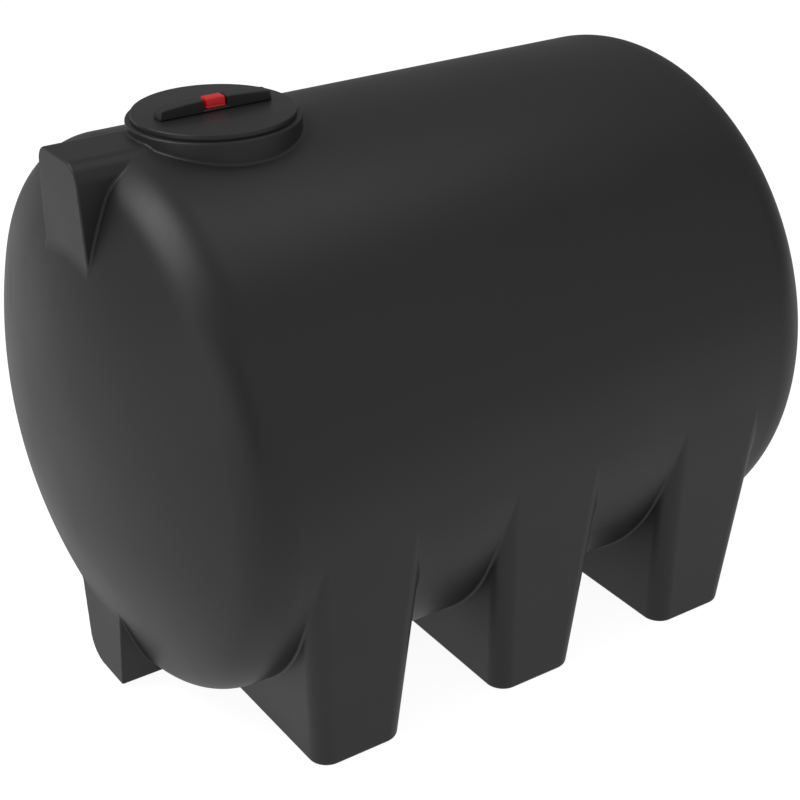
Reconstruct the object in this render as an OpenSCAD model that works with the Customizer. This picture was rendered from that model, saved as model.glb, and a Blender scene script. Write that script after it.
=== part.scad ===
// Horizontal storage tank, moulded in black polyethylene.
// X runs along the barrel, with the lid end at -X. Y is across, Z is up.
// The origin is on the ground, under the middle of the barrel.

/* [Barrel] */
// Outside diameter of the barrel
barrel_d = 1400; // [1300:10:1500]
// Length of the straight barrel, between the two rounded ends
barrel_len = 1432; // [1400:4:1500]
// Gap between the lowest line of the barrel and the ground
belly_gap = 8; // [4:1:20]
// Thickness of the moulded wall
wall = 9; // [7:0.5:12]
// Radius of the dish of each end, as a share of the barrel diameter
dish_ratio = 1; // [0.9:0.05:1.2]
// Radius of the knuckle of each end, as a share of the barrel diameter
knuckle_ratio = 0.1; // [0.08:0.01:0.12]

/* [Legs] */
// Distance from an end of the straight barrel to the middle of the outer legs
leg_inset = 184; // [170:2:220]
// Length of a leg along the barrel, at the ground
leg_len = 244; // [220:2:260]
// Half of the width across the legs, at the ground
leg_reach = 639; // [600:1:650]
// Lean of the front and rear faces of a leg, in degrees
leg_draft = 4; // [2:0.5:5]
// Radius of the outer corners of a leg
leg_corner = 50; // [30:5:60]
// Distance from the middle of the tank to the inner end of a leg
leg_inner = 170; // [150:10:220]
// Width of the small ledge where the outer face of a leg ends on the barrel
leg_ledge = 1.6; // [1:0.2:5]

/* [Hump and sump] */
// How far the flat faces of the hump and sump stand out from the end of the straight barrel
face_reach = 189; // [165:1:210]
// Height of the top of the hump above the crest of the barrel
hump_rise = 5; // [3:1:12]
// Half of the width of the hump at its top
hump_half = 90; // [70:2:110]
// Radius of the shoulder of the hump on the +Y side
hump_far_shoulder = 8; // [6:1:20]
// Radius of the shoulder of the hump on the -Y side
hump_near_shoulder = 42; // [30:1:50]
// Half of the width of the sump at its bottom
sump_half = 87; // [70:1:100]
// Radius of the lower corner of the sump on the +Y side
sump_far_corner = 60; // [30:5:65]
// Radius of the lower corner of the sump on the -Y side
sump_near_corner = 6; // [3:1:20]
// Widening of the hump and the sump towards the axis of the barrel, in degrees
block_draft = 5.7; // [3:0.1:8]

// Length of the solid tail of the hump and sump, where they run out into the round end
block_tail = 40; // [20:5:60]

/* [Manway] */
// Distance from the end of the straight barrel to the middle of the lid
lid_inset = 206; // [200:2:240]
// Outside radius of the neck
neck_r = 206; // [190:1:220]
// Height of the top of the neck above the crest of the barrel
neck_rise = 26; // [20:1:50]
// Thickness of the wall of the neck
neck_wall = 10; // [8:1:12]
// Width of the flat lip that turns inwards at the top of the neck
neck_lip = 20; // [16:1:24]
// Radius of the outer edge of the lip
lip_round = 5; // [2:1:6]
// Distance from the top of the neck to the first thread
thread_drop = 12; // [10:1:16]
// Depth of the threaded collar that hangs from the lip
collar_depth = 34; // [24:2:44]
// Thickness of the threaded collar
collar_wall = 5; // [4:0.5:6]

/* [Lid] */
// Radius of the lid
lid_r = 193; // [188:1:198]
// Height of the edge of the lid
lid_edge = 11.5; // [8:0.5:16]
// Thickness of the lid plate
lid_plate = 6; // [4:0.5:8]
// Radius along the upper edge of the lid
lid_round = 4; // [2:0.5:5]
// Thickness of the seal under the lid
seal_t = 2.5; // [2:0.5:4]
// Gap between the threads of the lid and those of the neck
thread_gap = 1; // [0.6:0.1:2]
// Depth of each thread
thread_depth = 2; // [1:0.5:3]
// Distance from one thread to the next
thread_pitch = 10; // [8:1:12]
// Number of thread turns
thread_turns = 3; // [2:1:3]
// Depth of the threaded plug under the lid
plug_depth = 34; // [26:2:40]
// Thickness of the wall of the plug
plug_wall = 4.5; // [3:0.5:6]
// Number of ribs under the lid
rib_count = 8; // [4:2:12]
// Thickness of a rib
rib_t = 4; // [3:0.5:6]
// Depth of a rib
rib_depth = 14; // [8:1:20]
// Radius of the hub where the ribs meet
hub_r = 26; // [22:1:30]
// Clearance round the vent stem, and the length of stem below the ribs
stem_room = 4; // [2:0.5:5]

/* [Handle and vent] */
// Length of the handle where it meets the lid
bar_len = 294; // [280:2:320]
// Slope of each end of the handle, measured along the lid
bar_nose = 5; // [2:1:10]
// Width of the handle
bar_w = 38; // [34:1:44]
// Height of the ends of the handle
bar_h = 24; // [20:1:28]
// Extra height of the handle in the middle, where it arches up
bar_arch = 8; // [4:1:12]
// Thickness of the wall of the handle
bar_wall = 5; // [4:0.5:6]
// Gap between the vent cap and the walls of its notch in the handle
notch_gap = 6; // [4:1:10]
// Length of the vent cap
cap_len = 54; // [48:1:60]
// Width of the vent cap
cap_w = 34; // [30:1:38]
// Height of the vent cap
cap_h = 23; // [20:1:25]
// Gap between the vent cap and the floor of its notch
cap_gap = 3; // [2:0.5:5]
// Thickness of the vent cap
cap_wall = 3.5; // [3:0.5:4.5]
// Outside radius of the vent stem
stem_r = 10; // [8:0.5:11]
// Radius of the hole in the vent stem
stem_bore_r = 6; // [4:0.5:7]

/* [Hidden] */

black = "#2b2b2b";
black_neck = "#262626";
black_lid = "#303030";
black_seal = "#161616";
vent_red = "#c8202a";

barrel_fn = 288;
round_fn = 96;
corner_fn = 32;
arc_steps = 8;
eps = 0.01;
over = 20;

barrel_r = barrel_d / 2;
axis_z = belly_gap + barrel_r;
crest_z = axis_z + barrel_r;
half_len = barrel_len / 2;
leg_pitch = half_len - leg_inset;
face_x = half_len + face_reach;
lid_x = half_len - lid_inset;

dish_r = barrel_d * dish_ratio;
knuckle_r = barrel_d * knuckle_ratio;
knuckle_c = barrel_r - knuckle_r;
dish_c = sqrt(pow(dish_r - knuckle_r, 2) - pow(knuckle_c, 2));

// The outer face of a leg leaves the ground at leg_reach and leans along a tangent of the barrel.
// It ends below the tangent point, where it stands leg_ledge clear of the barrel.
reach_angle = atan2(axis_z, leg_reach);
touch_angle = reach_angle - acos(barrel_r / norm([leg_reach, axis_z]));
ledge_drop = sqrt(2 * barrel_r * leg_ledge - pow(leg_ledge, 2));
leg_top_y = barrel_r * cos(touch_angle) - ledge_drop * sin(touch_angle);
leg_top_z = axis_z - barrel_r * sin(touch_angle) - ledge_drop * cos(touch_angle);
leg_top_len = leg_len + 2 * leg_top_z * tan(leg_draft);

hump_top = crest_z + hump_rise;
hump_low = axis_z + barrel_r / 2;
sump_low = belly_gap;
sump_top = axis_z - barrel_r / 3;

neck_z = crest_z + neck_rise;
neck_bore = neck_r - neck_lip;
collar_top = neck_z - neck_wall;
thread_top = neck_z - thread_drop;

lid_low = neck_z + seal_t;
lid_top = lid_low + lid_edge;
plug_r = neck_bore - thread_gap - thread_depth;
plug_inner = plug_r - plug_wall;
seal_inner = neck_bore + 1;
seal_outer = lid_r - 1;
notch_half = cap_len / 2 + notch_gap;
arch_half = bar_len / 2 - bar_nose;
arch_r = (pow(arch_half, 2) + pow(bar_arch, 2)) / (2 * bar_arch);
cap_low = lid_top + bar_wall + cap_gap;
stem_top = cap_low + cap_h - cap_wall;
stem_low = lid_top - lid_plate - rib_depth - stem_room;

// Solids of the barrel and its ends

// A round bar along the axis of the barrel
module along_barrel(r, length) {
    translate([0, 0, axis_z])
        rotate([0, 90, 0])
        cylinder(r = r, h = length, center = true, $fn = barrel_fn);
}

// Half outline of an end: a dish that runs into a knuckle, thinned by inset
module end_outline(inset) {
    reach = 2 * dish_r;
    intersection() {
        translate([0, -dish_c])
            circle(r = dish_r - inset, $fn = 4 * barrel_fn);
        polygon([
            [0, 0],
            [knuckle_c, 0],
            [knuckle_c * reach / dish_c, reach - dish_c],
            [0, reach - dish_c]
        ]);
    }
    intersection() {
        translate([knuckle_c, 0])
            circle(r = knuckle_r - inset, $fn = barrel_fn);
        translate([knuckle_c, 0])
            square(knuckle_r);
    }
}

// The full round end, with its flat side on the plane x = -half_len
module end_solid(inset) {
    translate([-half_len, 0, axis_z])
        rotate([0, -90, 0])
        rotate_extrude($fn = barrel_fn)
        end_outline(inset);
}

module end_shell() {
    difference() {
        end_solid(0);
        end_solid(wall);
    }
}

// A leg

// Plan of a leg with rounded outer corners, from the inner end out to reach
module leg_plan(length, inner, reach, corner) {
    translate([-length / 2, inner])
        square([length, reach - corner - inner]);
    translate([corner - length / 2, inner])
        square([length - 2 * corner, reach - inner]);
    for (side = [-1, 1])
        translate([side * (length / 2 - corner), reach - corner])
        circle(r = corner, $fn = corner_fn);
}

// A leaning block on the +Y side, thinned by inset on every face but the top
module leg_block(inset) {
    low_len = leg_len + 2 * inset * tan(leg_draft) - 2 * inset;
    low_reach = leg_reach + inset * tan(touch_angle) - inset;
    corner = leg_corner - inset;
    hull() {
        translate([0, 0, inset])
            linear_extrude(eps)
            leg_plan(low_len, leg_inner + inset, low_reach, corner);
        translate([0, 0, leg_top_z - eps])
            linear_extrude(eps)
            leg_plan(leg_top_len - 2 * inset, leg_inner + inset, leg_top_y - inset, corner);
    }
}

module leg() {
    color(black)
        difference() {
            leg_block(0);
            leg_block(wall);
            along_barrel(barrel_r, 2 * barrel_len);
        }
}

// Copies a leg shape to one of its six places: row -1, 0 or 1, side 1 or -1
module at_leg(row, side) {
    translate([row * leg_pitch, 0, 0])
        mirror([0, side < 0 ? 1 : 0, 0])
        children();
}

// The hump and the sump

// Turns an outline drawn in Y and Z into a block from x = -from to x = -to
module across(from, to) {
    translate([-from, 0, 0])
        rotate([90, 0, 90])
        linear_extrude(from - to)
        children();
}

// Points along an arc, turning from one direction to the other
function arc(centre, r, from, to) = [
    for (i = [0 : arc_steps])
        let (turn = from + (to - from) * i / arc_steps)
        centre + r * [cos(turn), sin(turn)]
];

// Half of the outline of a moulded block that starts at zero and widens upwards,
// with its first corner rounded, thinned by inset
function block_half(half, depth, corner, inset) =
    let (
        r = max(corner - inset, 0.5),
        grow = tan(block_draft),
        slant = cos(block_draft),
        start = half - inset / slant + inset * grow,
        centre = [start + r * grow - r / slant, r]
    )
    concat(arc(centre, r, -90, -block_draft), [[start + (depth - inset) * grow, depth - inset]]);

function mirrored(points) = [for (i = [len(points) - 1 : -1 : 0]) [-points[i][0], points[i][1]]];

module block_outline(half, depth, right_corner, left_corner, inset) {
    right = block_half(half, depth, right_corner, inset);
    left = block_half(half, depth, left_corner, inset);
    translate([0, inset])
        polygon(concat(right, mirrored(left)));
}

module hump_outline(inset) {
    translate([0, hump_top])
        mirror([0, 1])
        block_outline(hump_half, hump_top - hump_low, hump_far_shoulder, hump_near_shoulder, inset);
}

module hump_cavity() {
    across(face_x - wall, half_len + block_tail)
        hump_outline(wall);
}

module sump_outline(inset) {
    translate([0, sump_low])
        block_outline(sump_half, sump_top - sump_low, sump_far_corner, sump_near_corner, inset);
}

module sump_cavity() {
    across(face_x - wall, half_len + block_tail)
        sump_outline(wall);
}

// The nodes of the tank

module barrel_shell() {
    color(black)
        difference() {
            along_barrel(barrel_r, barrel_len);
            along_barrel(barrel_r - wall, barrel_len + over);
            translate([-lid_x, 0, axis_z])
                cylinder(r = neck_r - neck_wall, h = 2 * barrel_r, $fn = round_fn);
            for (row = [-1, 0, 1])
                for (side = [-1, 1])
                    at_leg(row, side)
                        leg_block(wall);
        }
}

module front_end() {
    color(black)
        difference() {
            end_shell();
            hump_cavity();
            sump_cavity();
        }
}

module rear_end() {
    color(black)
        mirror([1, 0, 0])
        end_shell();
}

module front_hump() {
    color(black)
        difference() {
            difference() {
                across(face_x, lid_x)
                    hump_outline(0);
                union() {
                    end_solid(0);
                    along_barrel(barrel_r, barrel_len);
                }
            }
            hump_cavity();
            translate([-lid_x, 0, axis_z])
                cylinder(r = neck_r, h = 2 * barrel_r, $fn = round_fn);
        }
}

module outlet_sump() {
    color(black)
        difference() {
            across(face_x, half_len)
                sump_outline(0);
            end_solid(0);
            sump_cavity();
        }
}

// The manway

module manway_neck() {
    wall_r = neck_r - neck_wall;
    color(black_neck)
        difference() {
            translate([-lid_x, 0, 0])
                rotate_extrude($fn = round_fn) {
                    translate([wall_r, axis_z])
                        square([neck_wall, neck_z - lip_round - axis_z]);
                    translate([neck_bore, collar_top])
                        square([neck_lip, neck_wall - lip_round]);
                    translate([neck_bore, collar_top])
                        square([neck_lip - lip_round, neck_wall]);
                    translate([neck_r - lip_round, neck_z - lip_round])
                        circle(r = lip_round, $fn = corner_fn);
                }
            along_barrel(barrel_r, 2 * barrel_len);
        }
}

// Rounded ridges stacked up a wall, drawn as a half outline
module ridges(r) {
    for (i = [0 : thread_turns - 1])
        translate([r, thread_top - i * thread_pitch])
        circle(r = thread_depth, $fn = corner_fn);
}

module neck_thread() {
    color(black_neck)
        translate([-lid_x, 0, 0])
        rotate_extrude($fn = round_fn)
        difference() {
            translate([neck_bore, collar_top - collar_depth])
                square([collar_wall, collar_depth]);
            ridges(neck_bore);
        }
}

// The lid

module lid_plate() {
    color(black_lid)
        translate([-lid_x, 0, 0])
        difference() {
            rotate_extrude($fn = round_fn) {
                translate([0, lid_top - lid_plate])
                    square([lid_r - lid_round, lid_plate]);
                translate([plug_inner, lid_low])
                    square([lid_r - plug_inner, lid_edge - lid_round]);
                translate([lid_r - lid_round, lid_top - lid_round])
                    circle(r = lid_round, $fn = corner_fn);
            }
            translate([0, 0, lid_top - lid_plate - over])
                cylinder(r = stem_r, h = 2 * over + lid_plate, $fn = round_fn);
        }
}

module lid_plug() {
    color(black_lid)
        translate([-lid_x, 0, 0])
        rotate_extrude($fn = round_fn) {
            translate([plug_inner, lid_low - plug_depth])
                square([plug_wall, plug_depth]);
            intersection() {
                ridges(plug_r);
                translate([plug_inner, lid_low - plug_depth])
                    square([2 * plug_wall, plug_depth]);
            }
        }
}

module lid_ribs() {
    rib_top = lid_top - lid_plate;
    color(black_lid)
        translate([-lid_x, 0, rib_top - rib_depth])
        difference() {
            union() {
                cylinder(r = hub_r, h = rib_depth, $fn = round_fn);
                for (i = [0 : rib_count - 1])
                    rotate(i * 360 / rib_count)
                    translate([hub_r - 2, -rib_t / 2, 0])
                    cube([plug_inner + 1 - hub_r, rib_t, rib_depth]);
            }
            translate([0, 0, -eps])
                cylinder(r = stem_r + stem_room, h = rib_depth + 2 * eps, $fn = round_fn);
        }
}

module lid_seal() {
    color(black_seal)
        translate([-lid_x, 0, neck_z])
        difference() {
            cylinder(r = seal_outer, h = seal_t, $fn = round_fn);
            translate([0, 0, -over])
                cylinder(r = seal_inner, h = seal_t + 2 * over, $fn = round_fn);
        }
}

// Side view of the handle: an arched top with a notch for the vent cap, thinned by inset
module bar_outline(inset) {
    half = bar_len / 2 - inset;
    r = arch_r - inset;
    turn = asin((arch_half - inset) / r);
    difference() {
        polygon(concat(
            [[-half, 0], [half, 0]],
            arc([0, bar_h + bar_arch - arch_r], r, 90 - turn, 90 + turn)
        ));
        translate([-notch_half - inset, bar_wall - inset])
            square([2 * (notch_half + inset), 2 * bar_h]);
    }
}

module bar_block(inset) {
    width = bar_w - 2 * inset;
    translate([-lid_x, width / 2, lid_top])
        rotate([90, 0, 0])
        linear_extrude(width)
        bar_outline(inset);
}

module lid_handle() {
    color(black_lid)
        difference() {
            bar_block(0);
            bar_block(bar_wall);
            translate([-lid_x, 0, lid_top - over])
                cylinder(r = stem_r, h = 2 * over, $fn = round_fn);
        }
}

module vent_cap() {
    color(vent_red)
        translate([-lid_x, 0, cap_low])
        difference() {
            translate([-cap_len / 2, -cap_w / 2, 0])
                cube([cap_len, cap_w, cap_h]);
            translate([cap_wall - cap_len / 2, cap_wall - cap_w / 2, -over])
                cube([cap_len - 2 * cap_wall, cap_w - 2 * cap_wall, cap_h - cap_wall + over]);
        }
}

module vent_stem() {
    color(vent_red)
        translate([-lid_x, 0, stem_low])
        difference() {
            cylinder(r = stem_r, h = stem_top - stem_low, $fn = round_fn);
            translate([0, 0, -over])
                cylinder(r = stem_bore_r, h = stem_top - stem_low + 2 * over, $fn = round_fn);
        }
}

barrel_shell();
front_end();
rear_end();
at_leg(-1, 1) leg();  // front_leg_left
at_leg(-1, -1) leg();  // front_leg_right
at_leg(0, 1) leg();  // middle_leg_left
at_leg(0, -1) leg();  // middle_leg_right
at_leg(1, 1) leg();  // rear_leg_left
at_leg(1, -1) leg();  // rear_leg_right
front_hump();
outlet_sump();
manway_neck();
neck_thread();
lid_plate();
lid_plug();
lid_ribs();
lid_seal();
lid_handle();
vent_cap();
vent_stem();
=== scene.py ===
"""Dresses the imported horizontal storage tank: its moulding, its lid and the studio."""

import math

import bmesh
import bpy
import numpy as np
from mathutils import Matrix, Vector


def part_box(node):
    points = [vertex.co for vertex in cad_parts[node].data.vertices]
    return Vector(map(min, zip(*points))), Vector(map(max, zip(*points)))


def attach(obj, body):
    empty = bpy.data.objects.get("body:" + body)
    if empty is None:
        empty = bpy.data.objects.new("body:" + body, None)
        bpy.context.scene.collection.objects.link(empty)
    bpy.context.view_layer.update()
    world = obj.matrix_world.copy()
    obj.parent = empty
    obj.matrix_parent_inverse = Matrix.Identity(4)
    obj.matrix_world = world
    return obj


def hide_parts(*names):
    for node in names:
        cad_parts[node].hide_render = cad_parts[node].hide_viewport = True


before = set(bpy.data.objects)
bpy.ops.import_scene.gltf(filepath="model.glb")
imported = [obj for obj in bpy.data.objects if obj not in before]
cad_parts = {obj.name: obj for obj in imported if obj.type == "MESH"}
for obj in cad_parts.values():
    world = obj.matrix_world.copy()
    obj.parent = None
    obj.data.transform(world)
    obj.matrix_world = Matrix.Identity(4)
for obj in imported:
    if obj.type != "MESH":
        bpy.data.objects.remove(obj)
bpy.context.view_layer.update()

bl_info = {
    "name": "Horizontal storage tank",
    "version": (1, 0, 0),
    "blender": (4, 5, 0),
    "location": "3D View > Sidebar > Storage tank",
    "description": "Builds the moulded skin, the screw lid and the studio round the packed tank",
    "category": "Object",
}

BARREL_LOW, BARREL_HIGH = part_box("barrel_shell")
END_LOW, END_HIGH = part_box("front_end")
SUMP_LOW, SUMP_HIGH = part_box("outlet_sump")
HUMP_LOW, HUMP_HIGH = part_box("front_hump")
NECK_LOW, NECK_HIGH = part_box("manway_neck")
COLLAR_LOW, COLLAR_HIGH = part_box("neck_thread")
PLATE_LOW, PLATE_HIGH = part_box("lid_plate")
PLUG_LOW, PLUG_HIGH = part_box("lid_plug")
HANDLE_LOW, HANDLE_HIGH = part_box("lid_handle")
CAP_LOW, CAP_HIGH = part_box("vent_cap")
FRONT_LEG_LOW, FRONT_LEG_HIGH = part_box("front_leg_left")

TANK_NODES = (
    "barrel_shell",
    "front_end",
    "rear_end",
    "front_leg_left",
    "front_leg_right",
    "middle_leg_left",
    "middle_leg_right",
    "rear_leg_left",
    "rear_leg_right",
    "front_hump",
    "outlet_sump",
    "manway_neck",
)

# Small fixed sizes of the moulding, in metres
LIP = 0.02  # how far the lip of the neck reaches inwards
MOUTH_EDGE = 0.0015  # radius round the mouth inside the lip
LEG_INNER_EDGE = 0.01  # radius of the inner upright corners of a leg
HUMP_FOOT = 0.3  # the hump ends this far above the tank's axis, inside the tank
SUMP_HEAD = 0.1  # the sump ends this far under the tank's axis, inside the tank
COLLAR_WALL = 0.005
PLUG_WALL = 0.0045

# A leg's fillet is full where the leg faces across the barrel, and has run out where it faces
# straight out from the axis, as its leaning outer face does: shares of the way between the two.
FILLET_GONE = 0.93
FILLET_FADE = 0.3

# The grid reaches this far past the tank, and the neck's bore is cut this far past the wall.
GRID_MARGIN = 0.03
BORE_MARGIN = 0.004

THREAD_FLANK = 1.6  # how steep the flanks of a thread are: 1 would be a plain wave
THREAD_RUN_OUT = 0.006  # length over which a thread dies away at each end of its ring

# The thick rim under the lid plate: where it starts, and the radii of its edges
RIM_INSIDE = 0.1785
RIM_FOOT, RIM_HEEL, RIM_ROOT = 0.001, 0.0005, 0.0015

# The camera that the photograph was fitted with: lens and sensor in millimetres, angles in degrees
CAMERA_LENS, CAMERA_SENSOR = 76.905, 36.0
CAMERA_PLACE = (-2.285, -3.407, 2.688)
CAMERA_PITCH, CAMERA_TURN, CAMERA_ROLL = 27.69, 56.05, 0.141

# The studio: the floor's paint, the white that the camera sees in it, the share of that white
# that gloss mirrors, its half width and its place under the soles, and the light from all round
FLOOR_GREY = 0.35
FLOOR_WHITE = 0.93
FLOOR_IN_GLOSS = 0.55
FLOOR_HALF = 14.0
FLOOR_DROP = 0.0015
SKY_LIGHT = 0.25

# Soft lamps: name, place, what it looks at, width, height, watts
LAMPS = (
    ("high_box", (-3.0, 1.0, 4.4), (-0.7, 0, 1.1), 2.3, 3.2, 84),
    ("low_box", (-6.0, -1.2, 1.8), (-0.6, 0, 0.5), 6.0, 3.0, 38),
    ("side_box", (1.0, -6.0, 3.6), (0, 0, 0.7), 10.0, 6.5, 66),
    ("roof_box", (1.0, -0.3, 4.8), (0, 0, 1.0), 2.5, 2.0, 14),
)


# Sizes and colours that a user would change


def length(name, description, default):
    """A length in metres, shown in the sidebar."""
    return bpy.props.FloatProperty(
        name=name, description=description, default=default, unit="LENGTH", precision=4
    )


class TankShape(bpy.types.PropertyGroup):
    """Sizes of the moulded tank."""

    wall: length("Wall", "Thickness of the moulded wall", 0.009)
    knuckle: length("Knuckle", "Radius of the knuckle of each round end", 0.14)
    leg_fillet: length("Leg fillet", "Hollow radius where a leg meets the barrel", 0.006)
    leg_corner: length("Leg corner", "Radius of the outer corners of a leg", 0.05)
    sole_edge: length("Sole edge", "Radius round the sole of a leg", 0.009)
    face_edge: length("Face edge", "Radius round the flat faces of the hump and sump", 0.004)
    hump_near: length("Hump near half", "Width of the hump's top from its middle to -Y", 0.09)
    hump_far: length("Hump far half", "Width of the hump's top from its middle to +Y", 0.11)
    hump_shoulder: length("Hump shoulder", "Radius of the shoulders of the hump", 0.044)
    sump_half: length("Sump half", "Half of the width of the sump at its bottom", 0.087)
    sump_far: length("Sump far corner", "Radius of the lower corner of the sump at +Y", 0.06)
    sump_near: length("Sump near corner", "Radius of the lower corner of the sump at -Y", 0.006)
    sump_lift: length("Sump lift", "Height of the floor of the sump above its packed block", 0.01)
    hump_fillet: length("Hump fillet", "Hollow radius where hump and sump leave the end", 0.005)
    neck_fillet: length("Neck fillet", "Hollow radius at the foot of the neck", 0.004)
    neck_edge: length("Neck edge", "Radius of the upper edge of the neck", 0.0045)
    fine_step: length("Fine step", "Grid step of the outer skin", 0.0045)
    coarse_step: length("Coarse step", "Grid step of the lining", 0.016)
    leg_draft: bpy.props.FloatProperty(
        name="Leg draft",
        description="Lean of the front and rear faces of a leg",
        default=math.radians(4),
        subtype="ANGLE",
    )
    block_draft: bpy.props.FloatProperty(
        name="Block draft",
        description="Lean of the sides of the hump and sump",
        default=math.radians(5.7),
        subtype="ANGLE",
    )
    hump_far_draft: bpy.props.FloatProperty(
        name="Hump far draft",
        description="Lean of the side of the hump at +Y",
        default=math.radians(1.5),
        subtype="ANGLE",
    )
    triangles: bpy.props.IntProperty(
        name="Triangles",
        description="Most triangles in the outer skin",
        default=185000,
        min=20000,
    )


class LidShape(bpy.types.PropertyGroup):
    """Sizes of the lid, its threads, its handle and its vent cap."""

    plate: length("Plate", "Thickness of the lid plate", 0.006)
    rim_edge: length("Rim edge", "Radius along the upper edge of the lid", 0.0035)
    thread_pitch: length("Thread pitch", "Distance from one thread to the next", 0.01)
    thread_depth: length("Thread depth", "Depth of a thread", 0.0018)
    handle_edge: length("Handle edge", "Radius along the edges of the handle", 0.0035)
    nose: length("Nose", "Slope of each end of the handle, along the lid", 0.005)
    arch: length("Arch", "Extra height of the handle in the middle", 0.008)
    notch_gap: length("Notch gap", "Gap between the vent cap and its notch's front wall", 0.006)
    notch_fit: length("Notch fit", "Gap between the vent cap and the rest of its notch", 0.0008)
    cap_wall: length("Cap wall", "Thickness of the vent cap", 0.0035)
    cap_corner: length("Cap corner", "Radius of the upright corners of the vent cap", 0.006)


class Finish(bpy.types.PropertyGroup):
    """Colours of the four plastics and rubbers."""

    tank: bpy.props.StringProperty(
        name="Tank", description="Colour of the tank, as a hex value", default="222222"
    )
    lid: bpy.props.StringProperty(
        name="Lid", description="Colour of the lid, as a hex value", default="242425"
    )
    seal: bpy.props.StringProperty(
        name="Seal", description="Colour of the seal, as a hex value", default="151515"
    )
    vent: bpy.props.StringProperty(
        name="Vent", description="Colour of the vent cap, as a hex value", default="e5101a"
    )


# Materials


def linear(value):
    """An sRGB hex value as a linear colour with alpha."""
    channels = [int(value[i : i + 2], 16) / 255 for i in (0, 2, 4)]
    return [
        c / 12.92 if c <= 0.04045 else ((c + 0.055) / 1.055) ** 2.4 for c in channels
    ] + [1.0]


def add_node(tree, kind, settings=None, inputs=None, links=None):
    """Adds a shader node with its settings, its inputs' values and its links."""
    node = tree.nodes.new(kind)
    for key, value in (settings or {}).items():
        setattr(node, key, value)
    for key, value in (inputs or {}).items():
        node.inputs[key].default_value = value
    for key, socket in (links or {}).items():
        tree.links.new(socket, node.inputs[key])
    return node


def new_material(name):
    """An empty node material, its tree and its output node."""
    material = bpy.data.materials.new(name)
    material.use_nodes = True
    tree = material.node_tree
    tree.nodes.clear()
    return material, tree, add_node(tree, "ShaderNodeOutputMaterial")


def moulded_polyethylene(hex_colour):
    """Rotomoulded polyethylene: melted onto a steel mould, so satin, with soft orange peel."""
    material, tree, output = new_material("rotomoulded_polyethylene")
    place = add_node(tree, "ShaderNodeTexCoord").outputs["Object"]
    # The carbon black spreads a little unevenly, in clouds about 250 mm across.
    clouds = add_node(
        tree,
        "ShaderNodeTexNoise",
        inputs={"Scale": 1 / 0.25, "Detail": 2.0, "Roughness": 0.5},
        links={"Vector": place},
    )
    shade = add_node(
        tree,
        "ShaderNodeMapRange",
        inputs={"From Min": 0.3, "From Max": 0.7, "To Min": 0.94, "To Max": 1.06},
        links={"Value": clouds.outputs["Fac"]},
    )
    colour = add_node(
        tree,
        "ShaderNodeMix",
        {"data_type": "RGBA", "blend_type": "MULTIPLY"},
        {0: 1.0, 6: linear(hex_colour)},
        {7: shade.outputs["Result"]},
    )
    # Orange peel is about 3 mm across and a few hundredths of a millimetre deep.
    peel = add_node(
        tree,
        "ShaderNodeTexNoise",
        inputs={"Scale": 1 / 0.003, "Detail": 2.0, "Roughness": 0.55},
        links={"Vector": place},
    )
    bump = add_node(
        tree,
        "ShaderNodeBump",
        inputs={"Strength": 0.12, "Distance": 0.0002},
        links={"Height": peel.outputs["Fac"]},
    )
    gloss = add_node(
        tree,
        "ShaderNodeMapRange",
        inputs={"From Min": 0.3, "From Max": 0.7, "To Min": 0.42, "To Max": 0.48},
        links={"Value": clouds.outputs["Fac"]},
    )
    shader = add_node(
        tree,
        "ShaderNodeBsdfPrincipled",
        inputs={"IOR": 1.51},
        links={
            "Base Color": colour.outputs[2],
            "Roughness": gloss.outputs["Result"],
            "Normal": bump.outputs["Normal"],
        },
    )
    tree.links.new(shader.outputs["BSDF"], output.inputs["Surface"])
    return material


def moulded_polypropylene(name, hex_colour, rough, grain):
    """Injection moulded polypropylene: a fine spark-eroded grain, so it is even and satin."""
    material, tree, output = new_material(name)
    place = add_node(tree, "ShaderNodeTexCoord").outputs["Object"]
    sparks = add_node(
        tree,
        "ShaderNodeTexNoise",
        inputs={"Scale": 1 / grain, "Detail": 3.0, "Roughness": 0.6},
        links={"Vector": place},
    )
    shade = add_node(
        tree,
        "ShaderNodeMapRange",
        inputs={"From Min": 0.3, "From Max": 0.7, "To Min": 0.95, "To Max": 1.05},
        links={"Value": sparks.outputs["Fac"]},
    )
    colour = add_node(
        tree,
        "ShaderNodeMix",
        {"data_type": "RGBA", "blend_type": "MULTIPLY"},
        {0: 1.0, 6: linear(hex_colour)},
        {7: shade.outputs["Result"]},
    )
    bump = add_node(
        tree,
        "ShaderNodeBump",
        inputs={"Strength": 0.15, "Distance": 0.0001},
        links={"Height": sparks.outputs["Fac"]},
    )
    shader = add_node(
        tree,
        "ShaderNodeBsdfPrincipled",
        inputs={"IOR": 1.49, "Roughness": rough},
        links={"Base Color": colour.outputs[2], "Normal": bump.outputs["Normal"]},
    )
    tree.links.new(shader.outputs["BSDF"], output.inputs["Surface"])
    return material


def seal_rubber(hex_colour):
    """EPDM rubber cut from moulded sheet: matt, with a dusty bloom in patches 8 mm across."""
    material, tree, output = new_material("epdm_rubber")
    place = add_node(tree, "ShaderNodeTexCoord").outputs["Object"]
    bloom = add_node(
        tree,
        "ShaderNodeTexNoise",
        inputs={"Scale": 1 / 0.008, "Detail": 3.0},
        links={"Vector": place},
    )
    rough = add_node(
        tree,
        "ShaderNodeMapRange",
        inputs={"To Min": 0.72, "To Max": 0.88},
        links={"Value": bloom.outputs["Fac"]},
    )
    shader = add_node(
        tree,
        "ShaderNodeBsdfPrincipled",
        inputs={"IOR": 1.5, "Base Color": linear(hex_colour)},
        links={"Roughness": rough.outputs["Result"]},
    )
    tree.links.new(shader.outputs["BSDF"], output.inputs["Surface"])
    return material


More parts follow.
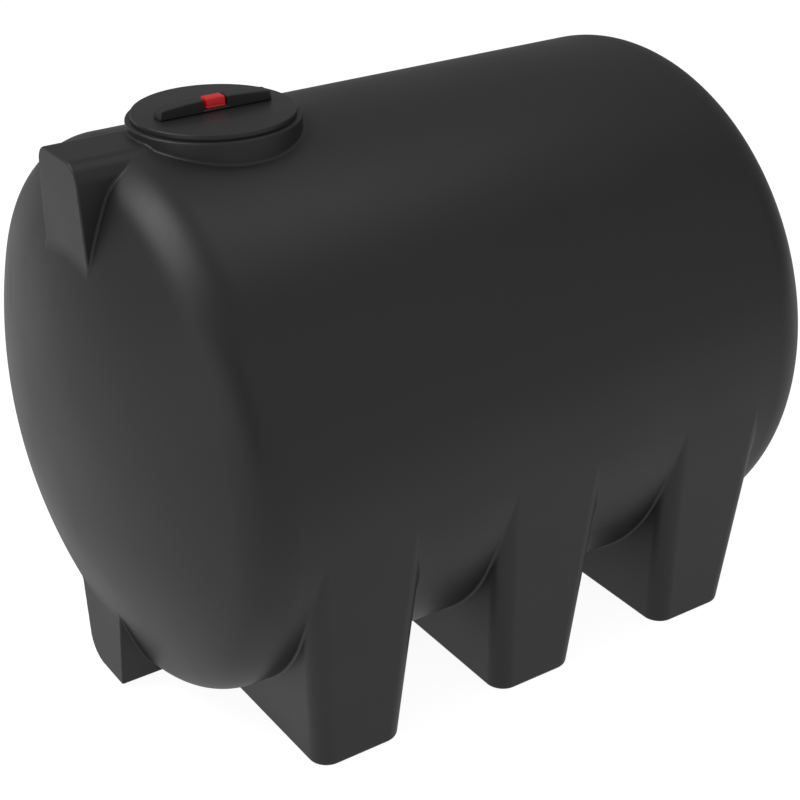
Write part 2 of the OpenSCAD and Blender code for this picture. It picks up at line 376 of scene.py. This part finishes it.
def material_of(name):
    """The material of that name, made on first use."""
    finish = bpy.context.scene.tank_finish
    makers = {
        "rotomoulded_polyethylene": lambda: moulded_polyethylene(finish.tank),
        "black_polypropylene": lambda: moulded_polypropylene(
            "black_polypropylene", finish.lid, 0.42, 0.0012
        ),
        "red_polypropylene": lambda: moulded_polypropylene(
            "red_polypropylene", finish.vent, 0.32, 0.0012
        ),
        "epdm_rubber": lambda: seal_rubber(finish.seal),
    }
    return bpy.data.materials.get(name) or makers[name]()


# Mesh tools


def add_piece(name, points, faces, material, body, replaced=(), normals=None):
    """Makes a smooth-shaded piece that rides on a body and stands for some CAD nodes."""
    mesh = bpy.data.meshes.new(name)
    mesh.from_pydata([tuple(p) for p in points], [], [tuple(f) for f in faces])
    mesh.validate()
    mesh.update()
    piece = bpy.data.objects.new(name, mesh)
    bpy.context.scene.collection.objects.link(piece)
    mesh.materials.append(material_of(material))
    mesh.shade_smooth()
    if normals is not None:
        mesh.normals_split_custom_set_from_vertices(normals)
    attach(piece, body)
    if replaced:
        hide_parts(*replaced)
    return piece


def shade_by_angle(piece, degrees):
    """Keeps edges sharper than an angle crisp, and shades the rest smooth."""
    piece.data.set_sharp_from_angle(angle=math.radians(degrees))


def face_outwards(piece, merge=0.0):
    """Merges points that lie closer than that, and turns every face of a piece outwards."""
    mesh = bmesh.new()
    mesh.from_mesh(piece.data)
    if merge:
        bmesh.ops.remove_doubles(mesh, verts=mesh.verts, dist=merge)
    bmesh.ops.recalc_face_normals(mesh, faces=mesh.faces)
    mesh.to_mesh(piece.data)
    mesh.free()


def lathe(profile, centre, steps):
    """Points and faces of a closed profile of (radius, height) pairs, turned upright."""
    turns = np.arange(steps) * 2 * math.pi / steps
    radius, height = np.array(profile).T
    x = centre.x + np.outer(np.cos(turns), radius)
    y = centre.y + np.outer(np.sin(turns), radius)
    z = np.broadcast_to(height, x.shape)
    points = np.stack([x, y, z], -1).reshape(-1, 3)
    count = len(profile)
    faces = []
    for i in range(steps):
        for j in range(count):
            a, b = i * count + j, i * count + (j + 1) % count
            k = (i + 1) % steps * count
            faces.append((a, k + j, k + (j + 1) % count, b))
    return points, faces


def rounded(corners, steps=5):
    """A closed outline with each corner replaced by an arc: corners are (x, y, radius)."""
    outline = []
    count = len(corners)
    for i, (x, y, radius) in enumerate(corners):
        here = Vector((x, y))
        back = Vector(corners[i - 1][:2]) - here
        ahead = Vector(corners[(i + 1) % count][:2]) - here
        if radius <= 0:
            outline.append(tuple(here))
            continue
        half = back.angle(ahead) / 2
        reach = radius / math.tan(half)
        centre = here + (back.normalized() + ahead.normalized()).normalized() * (
            radius / math.sin(half)
        )
        start = here + back.normalized() * reach - centre
        turn = start.angle_signed(here + ahead.normalized() * reach - centre)
        for k in range(steps + 1):
            spot = start.copy()
            spot.rotate(Matrix.Rotation(-turn * k / steps, 2))
            outline.append(tuple(centre + spot))
    return outline


def node_points(name):
    """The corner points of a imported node, in the shared frame."""
    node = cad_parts[name]
    return [node.matrix_world @ corner.co for corner in node.data.vertices]


# The shape of the tank, as a distance from each point to its surface


def hollow_join(a, b, radius):
    """Joins two distances, with a hollow fillet of that radius between them."""
    smooth = np.maximum(radius, np.minimum(a, b)) - np.hypot(
        np.maximum(radius - a, 0), np.maximum(radius - b, 0)
    )
    return np.where(radius > 1e-5, smooth, np.minimum(a, b))


def round_meet(a, b, radius):
    """Keeps what lies inside both distances, with a rounded edge of that radius."""
    return np.minimum(-radius, np.maximum(a, b)) + np.hypot(
        np.maximum(radius + a, 0), np.maximum(radius + b, 0)
    )


class TankField:
    """Distances to the tank's parts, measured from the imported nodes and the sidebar's sizes."""

    def __init__(self, shape):
        self.radius = BARREL_HIGH.y
        self.half = BARREL_HIGH.x
        self.axis = BARREL_HIGH.z - self.radius
        self.knuckle = shape.knuckle
        self.dish = 2 * self.radius
        self.knuckle_at = self.radius - self.knuckle
        self.dish_back = math.sqrt((self.dish - self.knuckle) ** 2 - self.knuckle_at**2)
        self.shape = shape
        self.rows = [
            (FRONT_LEG_LOW.x + FRONT_LEG_HIGH.x) / 2,
            0.0,
            -(FRONT_LEG_LOW.x + FRONT_LEG_HIGH.x) / 2,
        ]
        self.leg_draft = math.tan(shape.leg_draft)
        sole = [p for p in node_points("middle_leg_left") if p.z < 0.0005]
        self.leg_half = max(p.x for p in sole)
        self.leg_inner = min(p.y for p in sole)
        self.reach = max(p.y for p in sole)
        spread = math.hypot(self.reach, self.axis)
        self.lean = math.atan2(self.axis, self.reach) - math.acos(self.radius / spread)
        self.leg_top = self.axis - self.radius * math.sin(self.lean)
        self.neck = Vector(((NECK_LOW.x + NECK_HIGH.x) / 2, 0.0, NECK_HIGH.z))
        self.neck_radius = NECK_HIGH.y
        self.mouth_radius = self.neck_radius - LIP

    def vessel(self, x, y, z):
        """The barrel and its two dished ends."""
        rho = np.hypot(y, z - self.axis)
        out = np.abs(x) - self.half
        barrel = rho - self.radius
        knuckle = np.hypot(out, rho - self.knuckle_at) - self.knuckle
        dish = np.hypot(out + self.dish_back, rho) - self.dish
        on_dish = rho * self.dish_back < self.knuckle_at * (out + self.dish_back)
        return np.where(out <= 0, barrel, np.where(on_dish, dish, knuckle))

    def legs(self, x, y, z):
        """The nearest leg, and how squarely its surface there faces out from the tank's axis."""
        pitch = self.rows[2]
        along = x - np.clip(np.round(x / pitch), -1, 1) * pitch
        side = np.abs(y)
        corner = self.shape.leg_corner
        half = self.leg_half + z * self.leg_draft
        reach = self.reach + z * math.tan(self.lean)
        qx = (np.abs(along) - half) * math.cos(self.shape.leg_draft) + corner
        qy = (side - reach) * math.cos(self.lean) + corner
        ax, ay = np.maximum(qx, 0), np.maximum(qy, 0)
        plan = np.hypot(ax, ay) + np.minimum(np.maximum(qx, qy), 0) - corner
        rho = np.maximum(np.hypot(y, z - self.axis), 1e-6)
        facing = (ay * side / rho) / np.maximum(np.hypot(ax, ay), 1e-6)
        facing = np.where((ax == 0) & (ay == 0), np.where(qy > qx, side / rho, 0.0), facing)
        block = round_meet(plan, self.leg_inner - side, LEG_INNER_EDGE)
        block = round_meet(block, -z, self.shape.sole_edge)
        return np.maximum(block, z - self.leg_top), facing

    def block_side(self, out, depth, half, draft, corner):
        """One side of the hump or the sump: depth grows from its flat top or bottom."""
        side = (out - half - depth * math.tan(draft)) * math.cos(draft)
        return round_meet(side, -depth, corner)

    def hump(self, x, y, z):
        """The hump at the top of the front end."""
        shape, depth = self.shape, HUMP_HIGH.z - z
        near = self.block_side(-y, depth, shape.hump_near, shape.block_draft, shape.hump_shoulder)
        far = self.block_side(y, depth, shape.hump_far, shape.hump_far_draft, shape.hump_shoulder)
        front = round_meet(np.maximum(near, far), HUMP_LOW.x - x, shape.face_edge)
        return np.maximum(front, np.maximum(x - self.neck.x, self.axis + HUMP_FOOT - z))

    def sump(self, x, y, z):
        """The sump at the foot of the front end."""
        shape, depth = self.shape, z - SUMP_LOW.z - self.shape.sump_lift
        near = self.block_side(-y, depth, shape.sump_half, shape.block_draft, shape.sump_near)
        far = self.block_side(y, depth, shape.sump_half, shape.block_draft, shape.sump_far)
        front = round_meet(np.maximum(near, far), SUMP_LOW.x - x, shape.face_edge)
        return np.maximum(front, np.maximum(z - self.axis + SUMP_HEAD, x + self.half))

    def body(self, x, y, z):
        """The whole moulding without its neck."""
        vessel = self.vessel(x, y, z)
        legs, facing = self.legs(x, y, z)
        fillet = self.shape.leg_fillet * np.clip((FILLET_GONE - facing) / FILLET_FADE, 0.0, 1.0)
        joined = hollow_join(vessel, legs, fillet)
        joined = hollow_join(joined, self.hump(x, y, z), self.shape.hump_fillet)
        return hollow_join(joined, self.sump(x, y, z), self.shape.hump_fillet)

    def from_neck(self, x, y):
        """How far points lie from the upright axis of the neck."""
        return np.hypot(x - self.neck.x, y)

    def skin(self, x, y, z):
        """The outside of the moulding, with its neck and the mouth of the manway."""
        rho = self.from_neck(x, y)
        wall = round_meet(rho - self.neck_radius, z - self.neck.z, self.shape.neck_edge)
        neck = np.maximum(wall, self.axis - z)
        solid = hollow_join(self.body(x, y, z), neck, self.shape.neck_fillet)
        mouth = self.mouth_radius - rho
        return np.where(z > self.axis, round_meet(solid, mouth, MOUTH_EDGE), solid)

    def lining(self, x, y, z):
        """The inside of the moulding."""
        return -(self.body(x, y, z) + self.shape.wall)


def crossings(field, low, high, step, coarse=4):
    """Signed distances on a fine grid, worked out only near the surface."""
    count = np.ceil((np.array(high) - np.array(low)) / (step * coarse)).astype(int) + 1
    axes = [l + step * coarse * (np.arange(n) + 0.5) for l, n in zip(low, count)]
    centres = np.meshgrid(*axes, indexing="ij")
    rough = field(*centres).astype(np.float32)
    near = np.abs(rough) < step * coarse * 1.2
    for axis in range(3):
        near = near | np.roll(near, 1, axis) | np.roll(near, -1, axis)
    fine = rough.repeat(coarse, 0).repeat(coarse, 1).repeat(coarse, 2)
    mask = near.repeat(coarse, 0).repeat(coarse, 1).repeat(coarse, 2)
    i, j, k = np.nonzero(mask)
    fine[i, j, k] = field(
        low[0] + step * (i + 0.5), low[1] + step * (j + 0.5), low[2] + step * (k + 0.5)
    )
    return fine


def surface_net(field, low, high, step):
    """Points and quads of a field's zero surface, with one point in each cell that it crosses."""
    fine = crossings(field, low, high, step)
    inside = fine < 0
    shape = np.array(fine.shape) - 1
    corners = [
        (slice(dx, dx + shape[0]), slice(dy, dy + shape[1]), slice(dz, dz + shape[2]))
        for dx in (0, 1)
        for dy in (0, 1)
        for dz in (0, 1)
    ]
    every = np.ones(shape, bool)
    some = np.zeros(shape, bool)
    for corner in corners:
        every &= inside[corner]
        some |= inside[corner]
    cells = np.argwhere(some & ~every)
    index = np.full(shape, -1, np.int64)
    index[tuple(cells.T)] = np.arange(len(cells))
    total = np.zeros((len(cells), 3))
    number = np.zeros(len(cells))
    for axis in range(3):
        others = [a for a in range(3) if a != axis]
        for u in (0, 1):
            for v in (0, 1):
                start = cells.copy()
                start[:, others[0]] += u
                start[:, others[1]] += v
                end = start.copy()
                end[:, axis] += 1
                a, b = fine[tuple(start.T)], fine[tuple(end.T)]
                cut = (a < 0) != (b < 0)
                share = np.where(cut, a / np.where(cut, a - b, 1), 0)
                spot = start.astype(float)
                spot[:, axis] += share
                total += spot * cut[:, None]
                number += cut
    points = np.array(low) + step * (total / number[:, None] + 0.5)
    quads = []
    for axis in range(3):
        u, v = (axis + 1) % 3, (axis + 2) % 3
        ahead = np.roll(inside, -1, axis)
        edges = np.argwhere(inside != ahead)
        fits = (edges[:, u] > 0) & (edges[:, v] > 0)
        fits &= (edges < shape).all(1)
        edges = edges[fits]
        leaving = inside[tuple(edges.T)]
        ring = []
        for du, dv in ((0, 0), (1, 0), (1, 1), (0, 1)):
            cell = edges.copy()
            cell[:, u] -= du
            cell[:, v] -= dv
            ring.append(index[tuple(cell.T)])
        ring = np.stack(ring, 1)
        ring = np.where(leaving[:, None], ring, ring[:, ::-1])
        quads.append(ring[(ring >= 0).all(1)])
    return points, np.vstack(quads)


def slopes(field, points, reach=0.0004):
    """The gradient of a field at some points."""
    found = []
    for axis in range(3):
        offset = np.zeros(3)
        offset[axis] = reach
        found.append((field(*(points + offset).T) - field(*(points - offset).T)) / (2 * reach))
    return np.stack(found, 1)


def settle(field, points, rounds=3):
    """Moves points onto the zero surface of a field, and gives the surface's normals there."""
    for _ in range(rounds):
        slope = slopes(field, points)
        size = np.maximum((slope**2).sum(1), 0.25)
        points = points - slope * (field(*points.T) / size)[:, None]
    slope = slopes(field, points)
    return points, slope / np.maximum(np.linalg.norm(slope, axis=1), 1e-6)[:, None]


def only_used(points, quads):
    """The points that some quad uses, and the quads numbered to match."""
    used, inverse = np.unique(quads, return_inverse=True)
    return points[used], inverse.reshape(-1, 4)


def thinned(name, points, faces, triangles):
    """Points and faces of a mesh brought down to about that many triangles."""
    mesh = bpy.data.meshes.new(name)
    mesh.from_pydata(points.tolist(), [], faces.tolist())
    scratch = bpy.data.objects.new(name, mesh)
    bpy.context.scene.collection.objects.link(scratch)
    modifier = scratch.modifiers.new("thin", "DECIMATE")
    modifier.ratio = min(1.0, triangles / (2 * len(faces)))
    depsgraph = bpy.context.evaluated_depsgraph_get()
    lean = bpy.data.meshes.new_from_object(scratch.evaluated_get(depsgraph))
    found = np.zeros(len(lean.vertices) * 3)
    lean.vertices.foreach_get("co", found)
    polygons = [tuple(p.vertices) for p in lean.polygons]
    bpy.data.objects.remove(scratch)
    bpy.data.meshes.remove(mesh)
    bpy.data.meshes.remove(lean)
    return found.reshape(-1, 3), polygons


# Operators


class TANK_OT_skin(bpy.types.Operator):
    """Builds the outside of the moulding: barrel, ends, legs, hump, sump and neck in one skin"""

    bl_idname = "tank.skin"
    bl_label = "Tank skin"

    def execute(self, context):
        shape = context.scene.tank_shape
        field = TankField(shape)
        step = shape.fine_step * 1.0
        low = (END_LOW.x - GRID_MARGIN, -field.radius - GRID_MARGIN, -GRID_MARGIN)
        high = (
            -END_LOW.x + GRID_MARGIN,
            field.radius + GRID_MARGIN,
            NECK_HIGH.z + GRID_MARGIN,
        )
        points, quads = surface_net(field.skin, low, high, step)
        middle = points[quads].mean(1)
        rho = field.from_neck(middle[:, 0], middle[:, 1])
        bore = (rho < field.mouth_radius + BORE_MARGIN) & (middle[:, 2] > field.axis)
        deep = field.body(*middle.T) < -shape.wall - BORE_MARGIN
        points, quads = only_used(points, quads[~(bore & deep)])
        points, _ = settle(field.skin, points)
        points, faces = thinned("skin", points, quads, shape.triangles)
        points, normals = settle(field.skin, points, 1)
        add_piece(
            "tank_skin",
            points,
            faces,
            "rotomoulded_polyethylene",
            "tank",
            TANK_NODES,
            normals,
        )
        return {"FINISHED"}


class TANK_OT_lining(bpy.types.Operator):
    """Builds the inside of the moulding, which shows through the open manway"""

    bl_idname = "tank.lining"
    bl_label = "Tank lining"

    def execute(self, context):
        shape = context.scene.tank_shape
        field = TankField(shape)
        low = (END_LOW.x, -field.radius, 0.0)
        high = (-END_LOW.x, field.radius, NECK_HIGH.z)
        points, quads = surface_net(field.lining, low, high, shape.coarse_step)
        points, _ = settle(field.lining, points)
        middle = points[quads].mean(1)
        rho = field.from_neck(middle[:, 0], middle[:, 1])
        kept = (rho > field.mouth_radius) | (middle[:, 2] < field.axis)
        points, quads = only_used(points, quads[kept])
        points, normals = settle(field.lining, points, 1)
        add_piece(
            "tank_lining",
            points,
            quads,
            "rotomoulded_polyethylene",
            "tank",
            normals=normals,
        )
        return {"FINISHED"}


def screw_surface(radius, low, high, side, shape, steps=160, rows=72):
    """Points of a screw thread: side is 1 for an outer thread and -1 for an inner one."""
    centre = Vector(((PLATE_LOW.x + PLATE_HIGH.x) / 2, 0.0, 0.0))
    turns = np.arange(steps) * 2 * math.pi / steps
    heights = np.linspace(low, high, rows)
    turn, height = np.meshgrid(turns, heights, indexing="ij")
    phase = (height / shape.thread_pitch - turn / (2 * math.pi)) % 1.0
    ridge = np.clip(np.cos((phase - 0.5) * 2 * math.pi) * THREAD_FLANK, 0, 1)
    start = np.clip((height - low) / THREAD_RUN_OUT, 0, 1)
    end = np.clip((high - height) / THREAD_RUN_OUT, 0, 1)
    reach = radius + side * shape.thread_depth * ridge * (start * end)
    x, y = centre.x + reach * np.cos(turn), reach * np.sin(turn)
    return np.stack([x, y, height], -1), centre


def screw_ring(name, radius, wall, low, high, side, body, node, material):
    """A threaded ring with a plain wall on its other side."""
    shape = bpy.context.scene.lid_shape
    threaded, centre = screw_surface(radius, low, high, side, shape)
    steps, rows = threaded.shape[:2]
    plain = radius - side * wall
    turns = np.arange(steps) * 2 * math.pi / steps
    x, y = centre.x + plain * np.cos(turns), plain * np.sin(turns)
    back = np.stack([np.stack([x, y, np.full(steps, z)], -1) for z in (high, low)], 1)
    ring = np.concatenate([threaded, back], 1)
    count = rows + 2
    faces = []
    for i in range(steps):
        k = (i + 1) % steps
        for j in range(count):
            n = (j + 1) % count
            quad = (i * count + j, k * count + j, k * count + n, i * count + n)
            faces.append(quad if side > 0 else quad[::-1])
    piece = add_piece(name, ring.reshape(-1, 3), faces, material, body, (node,))
    shade_by_angle(piece, 50)
    return piece


class TANK_OT_threads(bpy.types.Operator):
    """Cuts the screw threads in the neck's collar and on the lid's plug"""

    bl_idname = "tank.threads"
    bl_label = "Threads"

    def execute(self, context):
        shape = context.scene.lid_shape
        screw_ring(
            "neck_collar",
            COLLAR_HIGH.y - COLLAR_WALL + shape.thread_depth,
            COLLAR_WALL - shape.thread_depth,
            COLLAR_LOW.z,
            COLLAR_HIGH.z,
            -1,
            "tank",
            "neck_thread",
            "rotomoulded_polyethylene",
        )
        screw_ring(
            "lid_screw",
            PLUG_HIGH.y - shape.thread_depth,
            PLUG_WALL,
            PLUG_LOW.z,
            PLUG_HIGH.z,
            1,
            "lid",
            "lid_plug",
            "black_polypropylene",
        )
        return {"FINISHED"}


class TANK_OT_lid(bpy.types.Operator):
    """Turns the lid plate with its rounded rim"""

    bl_idname = "tank.lid"
    bl_label = "Lid"

    def execute(self, context):
        shape = context.scene.lid_shape
        centre = (PLATE_LOW + PLATE_HIGH) / 2
        rim = PLATE_HIGH.y
        top, low = PLATE_HIGH.z, PLATE_LOW.z
        under = top - shape.plate
        profile = rounded(
            [
                (0.0, top, 0),
                (rim, top, shape.rim_edge),
                (rim, low, RIM_FOOT),
                (RIM_INSIDE, low, RIM_HEEL),
                (RIM_INSIDE, under, RIM_ROOT),
                (0.0, under, 0),
            ]
        )
        points, faces = lathe(profile, centre, 192)
        piece = add_piece(
            "lid_disc",
            points,
            faces,
            "black_polypropylene",
            "lid",
            ("lid_plate",),
        )
        face_outwards(piece, merge=1e-5)
        shade_by_angle(piece, 35)
        return {"FINISHED"}


def prism(outline, low, high, place, panels):
    """Points and faces of an outline pushed from low to high: panels split its flat ends."""
    count = len(outline)
    points = [place(u, v, low) for u, v in outline] + [place(u, v, high) for u, v in outline]
    faces = [tuple(panel)[::-1] for panel in panels]
    faces += [tuple(count + i for i in panel) for panel in panels]
    for i in range(count):
        k = (i + 1) % count
        faces.append((i, k, count + k, count + i))
    return points, faces


def soften(piece, width, segments=3, angle=30):
    """Bevels the edges of a piece that are sharper than an angle."""
    modifier = piece.modifiers.new("soften", "BEVEL")
    modifier.width = width
    modifier.segments = segments
    modifier.limit_method = "ANGLE"
    modifier.angle_limit = math.radians(angle)
    modifier.harden_normals = True
    depsgraph = bpy.context.evaluated_depsgraph_get()
    mesh = bpy.data.meshes.new_from_object(piece.evaluated_get(depsgraph))
    piece.modifiers.clear()
    piece.data = mesh


class TANK_OT_handle(bpy.types.Operator):
    """Builds the arched handle along the lid, with a notch for the vent cap"""

    bl_idname = "tank.handle"
    bl_label = "Handle"

    def execute(self, context):
        shape = context.scene.lid_shape
        middle = (HANDLE_LOW + HANDLE_HIGH) / 2
        half = (HANDLE_HIGH.x - HANDLE_LOW.x) / 2
        low, crest = HANDLE_LOW.z, HANDLE_HIGH.z
        start = CAP_LOW.x - shape.notch_gap - middle.x
        end = CAP_HIGH.x + shape.notch_fit - middle.x
        floor = CAP_LOW.z - shape.notch_fit
        flat = half - shape.nose
        front, back = (
            [(u, crest - shape.arch * (u / flat) ** 2) for u in np.linspace(*span, 14)]
            for span in ((start, -flat), (flat, end))
        )
        outline = [(-half, low), (start, low), (end, low), (half, low), *back]
        outline += [(end, floor), (start, floor), *front]
        right_wall, left_wall = 3 + len(back), 5 + len(back)
        panels = [
            (0, 1, *range(left_wall, len(outline))),
            (1, 2, right_wall + 1, left_wall),
            (2, *range(3, right_wall + 2)),
        ]
        points, faces = prism(
            outline,
            HANDLE_LOW.y,
            HANDLE_HIGH.y,
            lambda u, v, w: (middle.x + u, -w, v),
            panels,
        )
        piece = add_piece(
            "lid_grip", points, faces, "black_polypropylene", "lid", ("lid_handle",)
        )
        soften(piece, shape.handle_edge)
        return {"FINISHED"}


def rounded_frame(half_x, half_y, radius, steps=6):
    """The outline of an upright rectangle with rounded corners, as (x, y) pairs."""
    outline = []
    for quarter in range(4):
        side_x = 1 if quarter in (0, 3) else -1
        side_y = 1 if quarter in (0, 1) else -1
        for k in range(steps + 1):
            turn = (quarter + k / steps) * math.pi / 2
            outline.append(
                (
                    side_x * (half_x - radius) + radius * math.cos(turn),
                    side_y * (half_y - radius) + radius * math.sin(turn),
                )
            )
    return outline


class TANK_OT_cap(bpy.types.Operator):
    """Builds the red vent cap: a hollow box with a lip round its mouth"""

    bl_idname = "tank.cap"
    bl_label = "Vent cap"

    def execute(self, context):
        shape = context.scene.lid_shape
        wall, corner = shape.cap_wall, shape.cap_corner
        middle = (CAP_LOW + CAP_HIGH) / 2
        half_x = (CAP_HIGH.x - CAP_LOW.x) / 2
        half_y = (CAP_HIGH.y - CAP_LOW.y) / 2
        low, top = CAP_LOW.z, CAP_HIGH.z
        # (inset, height) pairs: up the inside, round the lip, up the leaning side, over the crown
        profile = [
            (wall, top - wall),
            (wall, low),
            (0.0006, low),
            (0.0, low + 0.0006),
            (0.0, low + 0.0028),
            (0.001, low + 0.0036),
            (0.0018, top - 0.004),
            (0.0026, top - 0.0016),
            (0.0044, top - 0.0004),
            (0.0065, top),
        ]
        points, faces = [], []
        for inset, height in profile:
            ring = rounded_frame(half_x - inset, half_y - inset, max(corner - inset, 0.001))
            points += [(middle.x + x, middle.y + y, height) for x, y in ring]
        count = len(points) // len(profile)
        for row in range(len(profile) - 1):
            for i in range(count):
                k = (i + 1) % count
                start = row * count
                faces.append((start + k, start + i, start + count + i, start + count + k))
        faces.append(tuple(range(count)))
        last = len(points) - count
        faces.append(tuple(range(last, len(points))))
        piece = add_piece(
            "vent_cover", points, faces, "red_polypropylene", "lid", ("vent_cap",)
        )
        face_outwards(piece)
        shade_by_angle(piece, 40)
        return {"FINISHED"}


class TANK_OT_plain_parts(bpy.types.Operator):
    """Gives the seal, the ribs and the vent stem their real finishes"""

    bl_idname = "tank.plain_parts"
    bl_label = "Seal, ribs and stem"

    def execute(self, context):
        finishes = {
            "lid_seal": "epdm_rubber",
            "lid_ribs": "black_polypropylene",
            "vent_stem": "red_polypropylene",
        }
        for name, finish in finishes.items():
            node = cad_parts[name]
            node.data.materials.clear()
            node.data.materials.append(material_of(finish))
        return {"FINISHED"}


def soft_box(name, place, target, width, height, watts):
    """A rectangular studio lamp that looks at a point."""
    data = bpy.data.lights.new(name, "AREA")
    data.shape = "RECTANGLE"
    data.size, data.size_y, data.energy = width, height, watts
    lamp = bpy.data.objects.new(name, data)
    bpy.context.scene.collection.objects.link(lamp)
    lamp.location = place
    lamp.rotation_euler = (Vector(target) - lamp.location).to_track_quat("-Z", "Y").to_euler()


def fitted_camera(scene):
    """The camera from which the tank looks as it does in the photograph."""
    data = bpy.data.cameras.new("camera")
    data.lens, data.sensor_width = CAMERA_LENS, CAMERA_SENSOR
    data.clip_end = 100.0
    camera = bpy.data.objects.new("camera", data)
    scene.collection.objects.link(camera)
    scene.camera = camera
    pitch, turn, roll = (math.radians(a) for a in (CAMERA_PITCH, CAMERA_TURN, CAMERA_ROLL))
    forward = Vector(
        (math.cos(turn) * math.cos(pitch), math.sin(turn) * math.cos(pitch), -math.sin(pitch))
    )
    level = Vector((math.sin(turn), -math.cos(turn), 0.0))
    down = forward.cross(level)
    right = level * math.cos(roll) + down * math.sin(roll)
    up = right.cross(forward)
    rows = zip(right, up, -forward, CAMERA_PLACE)
    camera.matrix_world = Matrix((*rows, (0, 0, 0, 1)))


def floor_paint():
    """Pale matt floor paint that the camera sees as white, with the tank's shadow still on it."""
    material, tree, output = new_material("studio_floor")
    rays = add_node(tree, "ShaderNodeLightPath")
    white = add_node(
        tree,
        "ShaderNodeBsdfDiffuse",
        inputs={"Color": (FLOOR_GREY, FLOOR_GREY, FLOOR_GREY, 1.0)},
    )
    glow = add_node(
        tree,
        "ShaderNodeEmission",
        inputs={"Color": (1, 1, 1, 1), "Strength": FLOOR_WHITE},
    )
    dark = add_node(tree, "ShaderNodeEmission", inputs={"Strength": 0.0})
    seen = add_node(
        tree,
        "ShaderNodeMath",
        {"operation": "MAXIMUM"},
        links={0: rays.outputs["Is Camera Ray"], 1: rays.outputs["Is Transmission Ray"]},
    )
    mirrored = add_node(
        tree,
        "ShaderNodeMath",
        {"operation": "MULTIPLY_ADD"},
        inputs={1: FLOOR_IN_GLOSS},
        links={0: rays.outputs["Is Glossy Ray"], 2: seen.outputs[0]},
    )
    lit = add_node(
        tree,
        "ShaderNodeMixShader",
        links={0: mirrored.outputs[0], 1: dark.outputs[0], 2: glow.outputs[0]},
    )
    both = add_node(tree, "ShaderNodeAddShader", links={0: white.outputs[0], 1: lit.outputs[0]})
    tree.links.new(both.outputs[0], output.inputs["Surface"])
    return material


def pale_floor(scene):
    """The floor, just under the soles."""
    material = floor_paint()
    mesh = bpy.data.meshes.new("floor")
    corners = [(-1, -1), (1, -1), (1, 1), (-1, 1)]
    mesh.from_pydata([(x * FLOOR_HALF, y * FLOOR_HALF, 0) for x, y in corners], [], [(0, 1, 2, 3)])
    mesh.materials.append(material)
    floor = bpy.data.objects.new("floor", mesh)
    scene.collection.objects.link(floor)
    floor.location.z = -FLOOR_DROP


def white_surround(scene):
    """Even light from all round, which the camera sees as white."""
    world = bpy.data.worlds.new("white_surround")
    scene.world = world
    world.use_nodes = True
    tree = world.node_tree
    tree.nodes.clear()
    rays = add_node(tree, "ShaderNodeLightPath")
    plain, backdrop = (
        add_node(
            tree, "ShaderNodeBackground", inputs={"Color": (1, 1, 1, 1), "Strength": strength}
        )
        for strength in (SKY_LIGHT, 1.0)
    )
    mixed = add_node(
        tree,
        "ShaderNodeMixShader",
        links={0: rays.outputs["Is Camera Ray"], 1: plain.outputs[0], 2: backdrop.outputs[0]},
    )
    add_node(tree, "ShaderNodeOutputWorld", links={"Surface": mixed.outputs[0]})


class TANK_OT_studio(bpy.types.Operator):
    """Sets the camera, the pale floor, the white surround and the soft lamps"""

    bl_idname = "tank.studio"
    bl_label = "Studio"

    def execute(self, context):
        fitted_camera(context.scene)
        pale_floor(context.scene)
        white_surround(context.scene)
        for lamp in LAMPS:
            soft_box(*lamp)
        context.scene.view_settings.view_transform = "Standard"
        return {"FINISHED"}


OPERATORS = (
    TANK_OT_skin,
    TANK_OT_lining,
    TANK_OT_threads,
    TANK_OT_lid,
    TANK_OT_handle,
    TANK_OT_cap,
    TANK_OT_plain_parts,
    TANK_OT_studio,
)


class TANK_PT_sidebar(bpy.types.Panel):
    """Lists the steps that build the tank, and their sizes."""

    bl_idname = "TANK_PT_sidebar"
    bl_label = "Storage tank"
    bl_space_type = "VIEW_3D"
    bl_region_type = "UI"
    bl_category = "Storage tank"

    def draw(self, context):
        layout = self.layout
        for operator in OPERATORS:
            layout.operator(operator.bl_idname)
        scene = context.scene
        for group in (scene.tank_shape, scene.lid_shape, scene.tank_finish):
            box = layout.box()
            for name in group.bl_rna.properties.keys():
                if name not in ("rna_type", "name"):
                    box.prop(group, name)


CLASSES = (TankShape, LidShape, Finish, *OPERATORS, TANK_PT_sidebar)


def register():
    """Adds the classes and the groups of sizes and colours to Blender."""
    for item in CLASSES:
        bpy.utils.register_class(item)
    bpy.types.Scene.tank_shape = bpy.props.PointerProperty(type=TankShape)
    bpy.types.Scene.lid_shape = bpy.props.PointerProperty(type=LidShape)
    bpy.types.Scene.tank_finish = bpy.props.PointerProperty(type=Finish)


def unregister():
    """Takes them out again."""
    del bpy.types.Scene.tank_finish
    del bpy.types.Scene.lid_shape
    del bpy.types.Scene.tank_shape
    for item in reversed(CLASSES):
        bpy.utils.unregister_class(item)


def main():
    """Builds everything in order."""
    register()
    bpy.ops.tank.skin()
    bpy.ops.tank.lining()
    bpy.ops.tank.threads()
    bpy.ops.tank.lid()
    bpy.ops.tank.handle()
    bpy.ops.tank.cap()
    bpy.ops.tank.plain_parts()
    bpy.ops.tank.studio()


if __name__ == "__main__":
    main()
